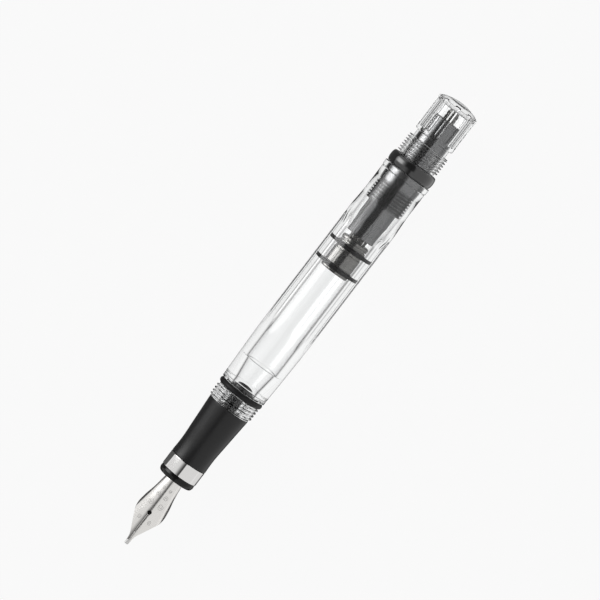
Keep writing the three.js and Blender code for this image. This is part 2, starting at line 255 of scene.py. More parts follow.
@dataclass(frozen=True)
class Helix:
    """A right-hand screw thread.

    Attributes:
        front, rear: the stations between which it runs.
        root, crest: its smallest and largest radius.
        pitch: how far apart its ridges are.
        low, high: where a ridge begins and ends its rise, as shares of the way from mid groove to
            mid crest.
        run_out: how far from each end it fades in.
        starts: how many threads run side by side.
    """

    front: float
    rear: float
    root: float
    crest: float
    pitch: float
    low: float
    high: float
    run_out: float
    starts: int = 1

    def rings(self, angles: np.ndarray, per_pitch: int) -> tuple[np.ndarray, np.ndarray]:
        """Works out the rings of the thread.

        The phase is the station in pitches plus the angle in turns for each start. A ridge rises
        and falls in straight flanks as the phase goes from 0 to 1.

        Args:
            angles: the angle of each point of a ring.
            per_pitch: how many rings a pitch gets.

        Returns:
            the stations of the rings, and the radius of each of their points.
        """
        count = int(math.ceil((self.rear - self.front) / self.pitch * per_pitch)) + 1
        x = np.linspace(self.front, self.rear, count)
        phase = (x[:, None] - self.front) / self.pitch + self.starts * angles[None, :] / TURN
        tent = 1 - 2 * np.abs(phase % 1 - 0.5)
        ridge = np.clip((tent - self.low) / (self.high - self.low), 0, 1)
        fade = smoothstep(0, self.run_out, x - self.front) * smoothstep(0, self.run_out, self.rear - x)
        return x, self.root + (self.crest - self.root) * ridge * fade[:, None]


def make_object(name: str, points: np.ndarray, faces: list, sharp: float = SHARP_ANGLE) -> Piece:
    """Makes a smooth-shaded object at the origin from points and faces.

    Args:
        name: the object's name.
        points: its points in metres.
        faces: its faces, as lists of point numbers.
        sharp: the angle between faces from which an edge is drawn sharp.

    Returns:
        the object, linked to the scene.
    """
    mesh = bpy.data.meshes.new(name)
    mesh.from_pydata(points.tolist(), [], faces)
    mesh.polygons.foreach_set("use_smooth", np.ones(len(mesh.polygons), bool))
    mesh.set_sharp_from_angle(angle=sharp)
    mesh.validate()
    made = bpy.data.objects.new(name, mesh)
    bpy.context.scene.collection.objects.link(made)
    return made


def join_pieces(name: str, pieces: Sequence[tuple[np.ndarray, list]]) -> Piece:
    """Makes one object of several closed surfaces.

    Args:
        name: the object's name.
        pieces: points and faces of each surface.

    Returns:
        the object.
    """
    points, faces, count = [], [], 0
    for some_points, some_faces in pieces:
        points.append(some_points)
        faces += [[v + count for v in face] for face in some_faces]
        count += len(some_points)
    return make_object(name, np.concatenate(points), faces)


def wrapped_faces(rows: int, columns: int) -> np.ndarray:
    """The faces between rows of points, each row a closed ring and the points numbered row by row."""
    first = np.arange(rows - 1)[:, None] * columns
    here, beside = first + np.arange(columns), first + (np.arange(columns) + 1) % columns
    return np.stack([here, beside, beside + columns, here + columns], -1).reshape(-1, 4)


def weld(piece: Piece) -> None:
    """Joins the points of a piece that meet."""
    piece.modifiers.new("weld", "WELD").merge_threshold = WELD_GAP


# -----------------------------------------------------------------------------
# Node trees and shared effects
# -----------------------------------------------------------------------------


class Tree:
    """Adds nodes to a node tree and wires them."""

    def __init__(self, tree: NodeTree) -> None:
        """Empties the tree and keeps it."""
        self.tree = tree
        tree.nodes.clear()

    def add(self, kind: str, inputs: Optional[dict] = None, **settings: object) -> Node:
        """Adds a node.

        Args:
            kind: the node's type name.
            inputs: values or sockets for its inputs, by name or number.
            settings: properties of the node.

        Returns:
            the node.
        """
        node = self.tree.nodes.new(kind)
        for key, value in settings.items():
            setattr(node, key, value)
        for key, value in (inputs or {}).items():
            if isinstance(value, Socket):
                self.tree.links.new(value, node.inputs[key])
            else:
                node.inputs[key].default_value = value
        return node

    def maths(self, operation: str, *values: object) -> Socket:
        """A Math node's result for values or sockets."""
        return self.add("ShaderNodeMath", dict(enumerate(values)), operation=operation).outputs[0]

    def remap(self, value: object, source: tuple, target: tuple, kind: str = "LINEAR") -> Socket:
        """A value moved from one range to another."""
        inputs = dict(enumerate((value, *source, *target)))
        return self.add("ShaderNodeMapRange", inputs, interpolation_type=kind).outputs[0]

    def ramp(self, value: object, source: tuple, low: float = 0.0, high: float = 1.0) -> Socket:
        """A value's smooth change from low to high over a range, level at both ends."""
        return self.remap(value, source, (low, high), "SMOOTHSTEP")

    def mask(self, value: object, source: tuple) -> Socket:
        """A value's even rise from 0 to 1 over a range."""
        return self.remap(value, source, (0.0, 1.0))

    def parts(self, output: str) -> Sequence[Socket]:
        """The X, Y and Z of a texture coordinate."""
        place = self.add("ShaderNodeTexCoord").outputs[output]
        return self.add("ShaderNodeSeparateXYZ", {0: place}).outputs

    def send(self, shader: Node, output: str = "ShaderNodeOutputMaterial") -> None:
        """Wires a shader to the tree's output."""
        self.tree.links.new(shader.outputs[0], self.add(output).inputs["Surface"])

    def seen_by(self) -> tuple[Socket, Socket]:
        """What kind of sight reaches a surface.

        Returns:
            1 where it is mirrored in something solid, and 1 where it is mirrored in the resin's walls.
        """
        path = self.add("ShaderNodeLightPath")
        bounced = self.maths("GREATER_THAN", path.outputs["Glossy Depth"], 0.5)
        crossed = path.outputs["Transmission Depth"]
        some = self.maths("GREATER_THAN", crossed, 0.5)
        many = self.maths("GREATER_THAN", crossed, 3.5)
        walls = self.maths("MULTIPLY", bounced, self.maths("SUBTRACT", some, many))
        return self.maths("SUBTRACT", bounced, walls), walls

    def mix(self, share: object, first: tuple, second: tuple) -> Socket:
        """A colour between two colours.

        Args:
            share: the way from the first to the second.
            first, second: the two colours.

        Returns:
            the colour.
        """
        node = self.add("ShaderNodeMix", {"Factor": share}, data_type="RGBA")
        node.inputs[6].default_value = (*first, 1)
        node.inputs[7].default_value = (*second, 1)
        return node.outputs[2]


class Effect(Enum):
    """The surface effects that several finishes share, each a node group."""

    GRAIN = "fine_grain"
    TURNING = "turning_marks"
    HANDLING = "handling_marks"
    BRUSHING = "lengthwise_brushing"

    def group(self) -> NodeTree:
        """The effect's node group, made at its first use."""
        made = bpy.data.node_groups.get(self.value)
        return made or _EFFECT_MAKERS[self](self.value)

    def place(self, tree: Tree, **inputs: float) -> Node:
        """Puts the effect in a material with its own values."""
        node = tree.add("ShaderNodeGroup", node_tree=self.group())
        for name, value in inputs.items():
            node.inputs[name.capitalize()].default_value = value
        return node


def new_group(name: str, inputs: dict) -> tuple[Tree, Node, Node]:
    """Starts a node group with a mask as its output.

    Args:
        name: the group's name.
        inputs: its number inputs and their usual values.

    Returns:
        its tree, its input node and its output node.
    """
    group = bpy.data.node_groups.new(name, "ShaderNodeTree")
    for key, value in inputs.items():
        socket = group.interface.new_socket(key, in_out="INPUT", socket_type="NodeSocketFloat")
        socket.default_value = value
    group.interface.new_socket("Mask", in_out="OUTPUT", socket_type="NodeSocketFloat")
    tree = Tree(group)
    return tree, tree.add("NodeGroupInput"), tree.add("NodeGroupOutput")


def send_mask(tree: Tree, pattern: object, contrast: object, wanted: Node) -> NodeTree:
    """Ends a group: its mask is the pattern's distance from a half times the contrast, plus a half."""
    centred = tree.maths("SUBTRACT", pattern, 0.5)
    tree.tree.links.new(tree.maths("MULTIPLY_ADD", centred, contrast, 0.5), wanted.inputs["Mask"])
    return tree.tree


def make_grain(name: str) -> NodeTree:
    """Fine even grain of a moulded surface: two sizes of noise, the finer one weaker.

    Args:
        name: the group's name.

    Returns:
        the group.
    """
    tree, given, wanted = new_group(name, {"Scale": 6000.0, "Contrast": 1.0})
    scale, contrast = given.outputs[:2]
    place = tree.add("ShaderNodeTexCoord").outputs["Object"]
    coarse = tree.add("ShaderNodeTexNoise", {"Vector": place, "Scale": scale, "Detail": 3.0})
    fine_scale = tree.maths("MULTIPLY", scale, 3.1)
    fine = tree.add("ShaderNodeTexNoise", {"Vector": place, "Scale": fine_scale, "Detail": 1.0})
    both = tree.maths("MULTIPLY_ADD", fine.outputs[0], 0.4, tree.maths("MULTIPLY", coarse.outputs[0], 0.6))
    return send_mask(tree, both, contrast, wanted)


def make_lines(name: str, stretch: tuple[float, float, float], detail: float) -> NodeTree:
    """Parallel tool marks: noise that changes slowly along the directions with a small stretch.

    Args:
        name: the group's name.
        stretch: how fast it changes along X, Y and Z.
        detail: how many finer layers the noise has.

    Returns:
        the group.
    """
    tree, given, wanted = new_group(name, {"Scale": 9000.0, "Contrast": 1.0})
    scale, contrast = given.outputs[:2]
    place = tree.add("ShaderNodeTexCoord").outputs["Object"]
    drawn = tree.add("ShaderNodeMapping", {"Vector": place, "Scale": stretch}).outputs[0]
    lines = tree.add("ShaderNodeTexNoise", {"Vector": drawn, "Scale": scale, "Detail": detail})
    return send_mask(tree, lines.outputs[0], contrast, wanted)


def make_handling(name: str) -> NodeTree:
    """Faint smudges from handling: soft patches of noise with a few short hairline scratches.

    Args:
        name: the group's name.

    Returns:
        the group.
    """
    tree, given, wanted = new_group(name, {"Scale": 260.0, "Scratches": 0.3})
    scale, scratches = given.outputs[:2]
    place = tree.add("ShaderNodeTexCoord").outputs["Object"]
    noise = {"Vector": place, "Scale": scale, "Detail": 4.0, "Roughness": 0.6}
    patches = tree.add("ShaderNodeTexNoise", noise)
    soft = tree.mask(patches.outputs[0], (0.42, 0.68))
    skewed = {"Vector": place, "Rotation": (0.4, 0.2, 0.9), "Scale": (0.06, 1, 1)}
    drawn = tree.add("ShaderNodeMapping", skewed)
    hair = tree.add("ShaderNodeTexNoise", {"Vector": drawn.outputs[0], "Scale": 7000.0, "Detail": 1.0})
    lines = tree.mask(hair.outputs[0], (0.72, 0.78))
    scratch = tree.maths("MULTIPLY", lines, scratches)
    total = tree.add("ShaderNodeMath", {0: soft, 1: scratch}, operation="ADD", use_clamp=True)
    tree.tree.links.new(total.outputs[0], wanted.inputs["Mask"])
    return tree.tree


_EFFECT_MAKERS = {
    Effect.GRAIN: make_grain,
    Effect.TURNING: partial(make_lines, stretch=(1.0, 0.03, 0.03), detail=2.0),
    Effect.HANDLING: make_handling,
    Effect.BRUSHING: partial(make_lines, stretch=(0.04, 1.0, 1.0), detail=3.0),
}


# -----------------------------------------------------------------------------
# Finishes
# -----------------------------------------------------------------------------


def material_named(name: str, wire: Callable[[Tree], Node]) -> Material:
    """A material, made at its first use.

    Args:
        name: the material's name.
        wire: adds the material's nodes to its empty tree and returns its shader.

    Returns:
        the material.
    """
    made = bpy.data.materials.get(name)
    if made is None:
        made = bpy.data.materials.new(name)
        made.use_nodes = True
        tree = Tree(made.node_tree)
        tree.send(wire(tree))
    return made


@dataclass(frozen=True)
class Finish:
    """A solid finish: a colour that varies a little, a roughness range and a fine relief.

    Attributes:
        name: the material's name.
        dark, light: the two colours that it varies between.
        metallic: 1 for metal.
        smooth, rough: its roughness where it is smoothest and roughest.
        effect: the pattern of its surface.
        scale: the pattern's fineness, in repeats to the metre.
        relief: how deep the pattern is, in millimetres.
        coat: how strong a clear coat is.
        specular: the strength of the plain shine of plastic.
        smudge: how much handling adds to its roughness.
        groove: where painted shade darkens its thread's grooves: first and last station, root and crest
            radius.
    """

    name: str
    dark: tuple[float, float, float]
    light: tuple[float, float, float]
    metallic: float = 0.0
    smooth: float = 0.3
    rough: float = 0.5
    effect: Effect = Effect.GRAIN
    scale: float = 6000.0
    relief: float = 0.004
    coat: float = 0.0
    specular: float = 0.5
    smudge: float = 0.06
    groove: Optional[tuple[float, float, float, float]] = None

    def shaded(self, tree: Tree, colour: Socket) -> Socket:
        """The colour with painted shade in the grooves of a thread, the darker the nearer a point is to
        their root.

        Args:
            tree: the material's tree.
            colour: the colour outside the grooves.

        Returns:
            the colour.
        """
        front, rear, root, crest = self.groove
        place = tree.add("ShaderNodeTexCoord").outputs["Object"]
        along = tree.parts("Object")["X"]
        flat = tree.add("ShaderNodeVectorMath", {0: place, 1: (0.0, 1.0, 1.0)}, operation="MULTIPLY")
        radius = tree.add("ShaderNodeVectorMath", {0: flat.outputs[0]}, operation="LENGTH").outputs["Value"]
        deep = tree.ramp(radius, (root * MM, crest * MM), 0.92, 0.0)
        after = tree.maths("GREATER_THAN", along, TIP_X + front * MM)
        before = tree.maths("LESS_THAN", along, TIP_X + rear * MM)
        share = tree.maths("MULTIPLY", deep, tree.maths("MULTIPLY", after, before))
        node = tree.add("ShaderNodeMix", {"Factor": share, 6: colour}, data_type="RGBA")
        # The painted shade's colour deep in the thread's grooves.
        node.inputs[7].default_value = (0.008, 0.008, 0.008, 1)
        return node.outputs[2]

    def build(self) -> Material:
        """The finish's material."""
        return material_named(self.name, self.wire)

    def wire(self, tree: Tree) -> Node:
        """Adds the finish's nodes.

        Args:
            tree: the material's empty tree.

        Returns:
            its shader.
        """
        mask = self.effect.place(tree, scale=self.scale, contrast=1.0).outputs["Mask"]
        smudges = Effect.HANDLING.place(tree, scale=220.0, scratches=0.25).outputs["Mask"]
        share = tree.mask(mask, (0.3, 0.7))
        colour = tree.mix(share, self.dark, self.light)
        # Painted shade in a thread's grooves, for a finish that has one.
        if self.groove:
            colour = self.shaded(tree, colour)
        plain = tree.remap(mask, (0.3, 0.7), (self.smooth, self.rough))
        roughness = tree.maths("MULTIPLY_ADD", smudges, self.smudge, plain)
        bump = tree.add("ShaderNodeBump", {"Strength": 1.0, "Distance": self.relief * MM, "Height": mask})
        return tree.add(
            "ShaderNodeBsdfPrincipled",
            {
                "Base Color": colour,
                "Roughness": roughness,
                "Normal": bump.outputs[0],
                "Metallic": self.metallic,
                "Coat Weight": self.coat,
                "Coat Roughness": 0.08,
                "Specular IOR Level": self.specular,
            },
        )


@dataclass(frozen=True)
class ClearFinish:
    """Polished clear resin that lets lamps light what is inside it.

    Attributes:
        name: the material's name.
        tint: its colour.
        index: its index of refraction.
        smooth, rough: its roughness where it is smoothest and roughest.
        wave: how deep the slight waviness of a moulded wall is, in millimetres.
    """

    name: str = "clear_resin"
    tint: tuple[float, float, float] = (0.985, 0.99, 0.99)
    index: float = 1.49
    smooth: float = 0.0
    rough: float = 0.02
    wave: float = 0.0002

    def build(self) -> Material:
        """The finish's material."""
        return material_named(self.name, self.wire)

    def wire(self, tree: Tree) -> Node:
        """Adds the finish's nodes.

        Args:
            tree: the material's empty tree.

        Returns:
            its shader.
        """
        smudges = Effect.HANDLING.place(tree, scale=300.0, scratches=0.4).outputs["Mask"]
        roughness = tree.remap(smudges, (0.0, 1.0), (self.smooth, self.rough))
        waves = Effect.GRAIN.place(tree, scale=90.0, contrast=0.3).outputs["Mask"]
        bump = tree.add("ShaderNodeBump", {"Strength": 1.0, "Distance": self.wave * MM, "Height": waves})
        shader = tree.add(
            "ShaderNodeBsdfPrincipled",
            {
                "Base Color": (*self.tint, 1),
                "Roughness": roughness,
                "Normal": bump.outputs[0],
                "IOR": self.index,
                "Transmission Weight": 1.0,
            },
        )
        through = tree.add("ShaderNodeBsdfTransparent", {"Color": (*self.tint, 1)})
        path = tree.add("ShaderNodeLightPath")
        mixed = tree.add("ShaderNodeMixShader", {0: path.outputs["Is Shadow Ray"]})
        tree.tree.links.new(shader.outputs[0], mixed.inputs[1])
        tree.tree.links.new(through.outputs[0], mixed.inputs[2])
        return mixed


CLEAR_RESIN = ClearFinish()
NIB_STEEL = Finish(
    "brushed_nib_steel", (0.94, 0.922, 0.895), (0.985, 0.967, 0.94), 1.0, 0.12, 0.18,
    Effect.BRUSHING, 12000.0, 0.0001,
)
ENGRAVING = Finish("nib_engraving", (0.3, 0.298, 0.29), (0.4, 0.398, 0.39), 1.0, 0.35, scale=20000.0)
TIP_ALLOY = Finish(
    "tip_alloy", (0.78, 0.775, 0.765), (0.86, 0.855, 0.845), 0.7, 0.5, 0.62, scale=26000.0, relief=0.003
)
CHROME = Finish(
    "chrome_plating", (0.92, 0.912, 0.9), (0.95, 0.942, 0.93), 1.0, 0.03, 0.06,
    Effect.TURNING, 9000.0, 0.0005,
)
BLACK_PLASTIC = Finish(
    "moulded_black", (0.006, 0.006, 0.006), (0.011, 0.011, 0.011), 0.0, 0.12, 0.18,
    scale=5000.0, relief=0.001, specular=0.3, smudge=0.02,
)
GRIP_BLACK = Finish(
    "grip_black", (0.01, 0.01, 0.0105), (0.015, 0.015, 0.0155), 0.0, 0.28, 0.34, scale=7000.0, specular=0.42
)
RUBBER = Finish(
    "seal_rubber", (0.008, 0.008, 0.008), (0.014, 0.014, 0.014), 0.0, 0.34, 0.42,
    scale=9000.0, relief=0.003, specular=0.25,
)
RING_BLACK = Finish(
    "rear_ring_black", (0.009, 0.009, 0.009), (0.014, 0.014, 0.014), 0.0, 0.15, 0.2,
    scale=8000.0, relief=0.001, coat=1.0, specular=0.6, smudge=0.01,
)
PISTON_GREY = Finish(
    "piston_grey", (0.2, 0.196, 0.188), (0.225, 0.221, 0.212), 0.97, 0.12, 0.17,
    scale=7000.0, relief=0.0008, smudge=0.02,
)
DARK_METAL = Finish(
    "dark_plating", (0.18, 0.18, 0.183), (0.205, 0.205, 0.208), 1.0, 0.06, 0.11,
    Effect.TURNING, 8000.0, 0.0004, smudge=0.015,
)
# The housing's plating, with painted shade in its thread's grooves.
THREADED_METAL = replace(
    DARK_METAL, name="dark_plating_threaded_painted_shade", dark=(0.19, 0.19, 0.193), light=(0.215, 0.215, 0.218),
    groove=(100.8, 105.9, 4.55, 4.95),
)
BRASS = Finish(
    "nickelled_brass", (0.18, 0.178, 0.17), (0.23, 0.227, 0.217), 1.0, 0.08, 0.14,
    Effect.TURNING, 7000.0, 0.0005,
)
WHITE_PLASTIC = Finish(
    "washer_white", (0.72, 0.71, 0.68), (0.82, 0.81, 0.78), 0.0, 0.4, 0.5, scale=8000.0, relief=0.003
)
AnyFinish = Union[Finish, ClearFinish]


def dress(piece: Piece, finish: AnyFinish) -> None:
    """Gives a piece one finish."""
    piece.data.materials.clear()
    piece.data.materials.append(finish.build())


@dataclass
class Assembly:
    """A sub-assembly of the pen.

    Attributes:
        body: the body that its pieces ride on.
    """

    body: str = "pen"

    def settle(self, piece: Piece, finish: AnyFinish, slot: str, *nodes: str) -> None:
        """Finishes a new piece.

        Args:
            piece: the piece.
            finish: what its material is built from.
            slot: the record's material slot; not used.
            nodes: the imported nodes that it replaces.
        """
        dress(piece, finish)
        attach(piece, self.body)
        if nodes:
            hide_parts(*nodes)
        LOG.info("%s rides on %s, %d faces", piece.name, self.body, len(piece.data.polygons))

    def add_shell(self, shell: Shell, name: str, *place: object, sharp: float = SHARP_ANGLE) -> None:
        """Makes a piece of a shell and finishes it.

        Args:
            shell: the shell.
            name: the piece's name.
            place: its finish, slot and nodes, as settle takes them.
            sharp: the angle between faces from which an edge is drawn sharp.
        """
        self.settle(make_object(name, *shell.points(), sharp), *place)


# -----------------------------------------------------------------------------
# Studio
# -----------------------------------------------------------------------------


@dataclass
class Studio:
    """The floor, the lights, the surroundings and the camera.

    Attributes:
        tilt: how far the camera leans towards the knob's end, in degrees.
        turn: how far the pen is turned in the view, in degrees.
        distance: from the camera to the pen, in millimetres.
        lens: the camera's focal length, in millimetres.
        aim: the point looked at, as an offset from the pen's middle along X and Y, in millimetres.
        floor_size: the length of the floor's sides, in metres.
        floor_glow: how brightly the floor shines, seen directly.
        sheet: how far to the side of the axis the floor seen through the resin starts to darken and
            is darkest, in metres.
        key: how bright the lamp beside the pen is.
    """

    tilt: float = 5.4
    turn: float = 52.66
    distance: float = 1000.0
    lens: float = 254.3
    aim: tuple[float, float] = (5.5, 2.2)
    floor_size: float = 4.0
    floor_glow: float = 0.93
    sheet: tuple[float, float] = (0.0125, 0.026)
    key: float = 3.2

    def camera(self) -> None:
        """Places the camera.

        Its line of sight leans from straight down by the tilt, in the plane of the pen's axis, and it
        is rolled so that the pen's +X points up and to the right by the turn.
        """
        lean, roll = math.radians(self.tilt), math.radians(self.turn)
        toward = Vector((math.sin(lean), 0, math.cos(lean)))
        along = Vector((math.cos(lean), 0, -math.sin(lean)))
        across = toward.cross(along)
        right = math.cos(roll) * along - math.sin(roll) * across
        up = math.sin(roll) * along + math.cos(roll) * across
        data = bpy.data.cameras.new("camera")
        data.lens = self.lens
        data.sensor_width = 36
        data.clip_start = 0.05
        data.clip_end = 20
        made = bpy.data.objects.new("camera", data)
        bpy.context.scene.collection.objects.link(made)
        target = Vector((self.aim[0] * MM, self.aim[1] * MM, 0))
        place = target + toward * self.distance * MM
        made.matrix_world = Matrix.Translation(place) @ Matrix((right, up, toward)).transposed().to_4x4()
        bpy.context.scene.camera = made

    def floor(self) -> None:
        """Lays the pale floor just under the barrel's lowest flat, lit from below like a light table."""
        half = self.floor_size / 2
        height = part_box("barrel")[0].z - 0.02 * MM
        ways = ((-half, -half), (half, -half), (half, half), (-half, half))
        made = make_object("floor", np.array([(*way, height) for way in ways]), [(0, 1, 2, 3)])
        made.data.materials.append(material_named("floor_white", self.wire_floor))

    def wire_floor(self, tree: Tree) -> Node:
        """Adds the floor's nodes.

        Seen directly it is even. Seen through the resin it darkens to the sides. Mirrored in solid pieces
        its glow carries a painted shadow of the pen, bright only well out on one side of the axis, and a
        painted shade of its own in front under the nib.

        Args:
            tree: the floor material's empty tree.

        Returns:
            its shader.
        """
        mirrored, _ = tree.seen_by()
        crossed = tree.add("ShaderNodeLightPath").outputs["Transmission Depth"]
        through = tree.maths("GREATER_THAN", crossed, 0.5)
        parts = tree.parts("Object")
        side = parts["Y"]
        beside = tree.maths("ABSOLUTE", side)
        away = tree.ramp(beside, self.sheet)
        bent = tree.maths("MULTIPLY", through, away)
        plain = tree.remap(bent, (0.0, 1.0), (self.floor_glow, 0.15))
        inner = tree.remap(crossed, (2.5, 3.5), (0.7, 0.45))
        # Painted shadow of the pen in the floor's glow as mirrored in solid pieces: dim except well out on
        # the -Y side.
        lit = tree.ramp(side, (-0.013, -0.009), 1.0, 0.11)
        pen_painted_shadow = tree.maths("MULTIPLY", lit, inner)
        # Painted shade in the floor's glow under the nib as mirrored in solid pieces: dim within 16 mm of
        # the axis.
        nib_painted_shade = tree.ramp(beside, (0.016, 0.02), 0.05, 0.76)
        nib_end = tree.ramp(parts["X"], (-0.052, -0.049), 1.0, 0.0)
        gap = tree.maths("SUBTRACT", nib_painted_shade, pen_painted_shadow)
        dim = tree.maths("MULTIPLY_ADD", gap, nib_end, pen_painted_shadow)
        lower = tree.maths("MULTIPLY", mirrored, tree.maths("SUBTRACT", plain, dim))
        strength = tree.maths("SUBTRACT", plain, lower)
        paper = tree.add("ShaderNodeTexNoise", {"Scale": 900.0, "Detail": 3.0})
        shade = tree.mix(paper.outputs[0], (0.025, 0.025, 0.025), (0.035, 0.035, 0.035))
        return tree.add(
            "ShaderNodeBsdfPrincipled",
            {
                "Base Color": shade,
                "Roughness": 0.9,
                "Specular IOR Level": 0.0,
                "Emission Color": (1.0, 1.0, 1.0, 1),
                "Emission Strength": strength,
            },
        )

    def surroundings(self) -> None:
        """Fills the world with soft light, from directions given as degrees round the axis and as X.

        It is pale on both sides and dark in a band straight above. The band is narrow towards the nib's
        end and wide elsewhere, where a card hangs. A lamp shines from one side, and what is mirrored in
        the resin's own walls is paler.
        """
        world = bpy.data.worlds.new("studio")
        bpy.context.scene.world = world
        world.use_nodes = True
        tree = Tree(world.node_tree)
        ahead, side, height = tree.parts("Generated")
        angle = tree.maths("MULTIPLY", tree.maths("ARCTAN2", side, height), 180 / math.pi)
        crossed = tree.add("ShaderNodeLightPath").outputs["Transmission Depth"]
        inner = tree.maths("GREATER_THAN", crossed, 2.5)
        card = tree.maths("MAXIMUM", tree.ramp(ahead, (-0.098, -0.06)), inner)
        open_right = tree.ramp(angle, (-6.0, -2.0), 0.65, 0.0)
        card_right = tree.ramp(angle, (-20.0, -10.0), 0.65, 0.0)
        open_left = tree.ramp(angle, (1.0, 30.0), 0.0, 0.64)
        card_left = tree.ramp(angle, (28.0, 50.0), 0.0, 0.8)
        opened = tree.maths("ADD", open_right, open_left)
        shut = tree.maths("ADD", card_right, card_left)
        around = tree.maths("MULTIPLY_ADD", tree.maths("SUBTRACT", shut, opened), card, opened)
        nib_way = tree.ramp(ahead, (-0.26, -0.2), 1.0, 0.0)
        end = tree.ramp(angle, (88.0, 98.0), 1.0, 0.0)
        left_end = tree.maths("MAXIMUM", end, nib_way)
        plain = tree.maths("MULTIPLY_ADD", around, left_end, 0.05)
        core_rise = tree.ramp(angle, (40.0, 58.0))
        core_fall = tree.ramp(angle, (68.0, 94.0), 1.0, 0.0)
        skirt_rise = tree.ramp(angle, (26.0, 44.0), 0.0, 0.16)
        skirt_fall = tree.ramp(angle, (84.0, 104.0), 1.0, 0.0)
        skirt = tree.maths("MULTIPLY", skirt_rise, skirt_fall)
        across = tree.maths("MULTIPLY_ADD", core_rise, core_fall, skirt)
        key_front = tree.ramp(ahead, (-0.13, -0.098))
        key_rear = tree.ramp(ahead, (0.15, 0.3), 1.0, 0.0)
        along = tree.maths("MULTIPLY", key_front, key_rear)
        box = tree.maths("MULTIPLY", across, along)
        level = tree.maths("MULTIPLY_ADD", box, self.key, plain)
        _, walls = tree.seen_by()
        paler = tree.maths("MULTIPLY", walls, tree.maths("SUBTRACT", 0.6, level))
        level = tree.maths("ADD", level, paler)
        background = tree.add("ShaderNodeBackground", {"Color": (1.0, 1.0, 1.0, 1), "Strength": level})
        tree.send(background, "ShaderNodeOutputWorld")

    def build(self) -> None:
        """Sets up the whole studio."""
        self.camera()
        self.floor()
        self.surroundings()
        bpy.context.scene.view_settings.view_transform = "Standard"


# -----------------------------------------------------------------------------
# Nib unit
# -----------------------------------------------------------------------------


